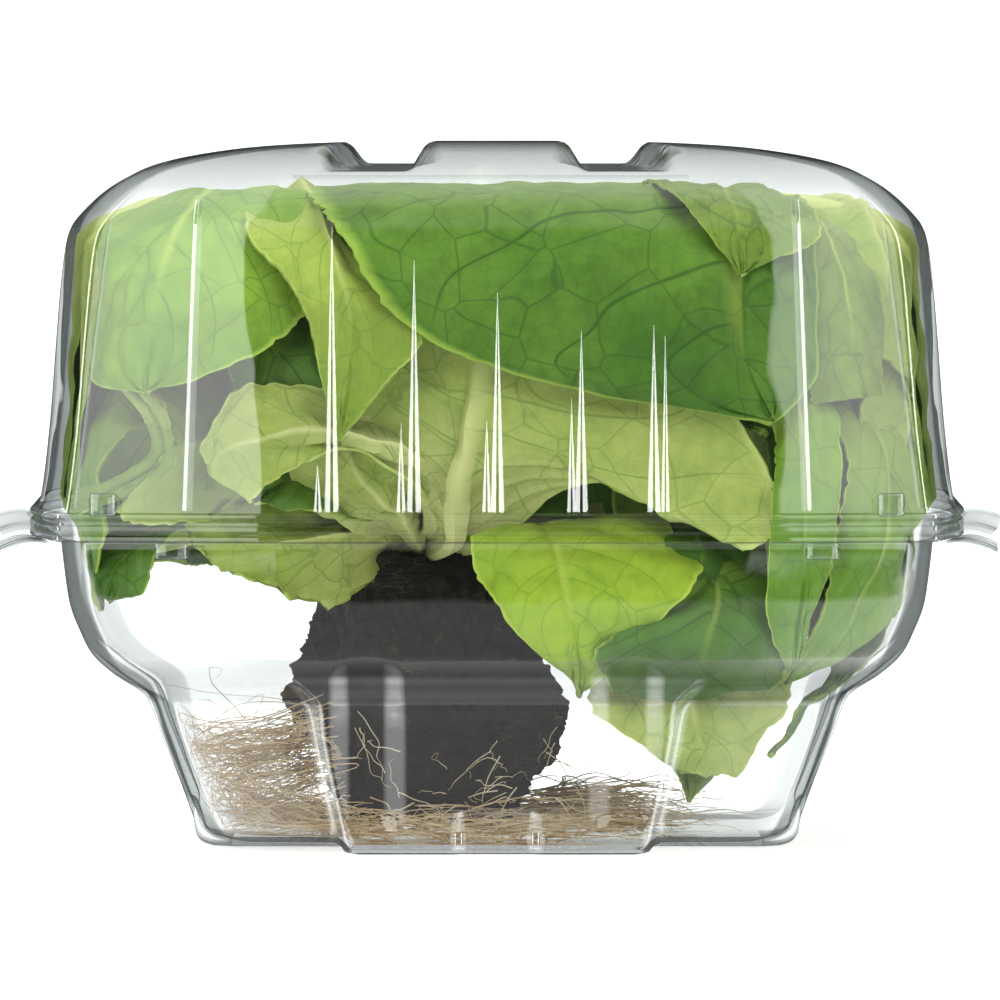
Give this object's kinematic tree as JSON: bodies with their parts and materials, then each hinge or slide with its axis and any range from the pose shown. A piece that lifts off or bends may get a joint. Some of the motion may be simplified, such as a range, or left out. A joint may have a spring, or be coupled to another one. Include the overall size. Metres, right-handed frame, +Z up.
{
  "type": "butterhead lettuce in a hinged clear box",
  "caption": "Head of butterhead lettuce with its roots in a peat block, held in a clear clamshell box whose lid hinges at the back.",
  "frame": {"origin": "on the table, below the middle of the box", "axes": "+X to the right seen from the box front, +Y from the front to the hinge at the back, +Z up"},
  "size_m": [0.1892, 0.1752, 0.1326],
  "materials": {
    "clear_sheet": "clear, glossy",
    "leaf": "fresh leaf, satin",
    "peat": "moist, rough",
    "root": "fibrous, matte"
  },
  "bodies": {
    "base": {"clamshell_base": "clear_sheet", "lettuce_head": "leaf", "growing_plug": "peat", "roots": "root"},
    "lid": {"clamshell_lid": "clear_sheet"}
  },
  "joints": [
    {"name": "lid_hinge", "type": "hinge", "parent": "base", "child": "lid", "pos_m": [0, 0.0882, 0.06045], "axis": [-1, 0, 0], "range_deg": [0, 150]}
  ]
}
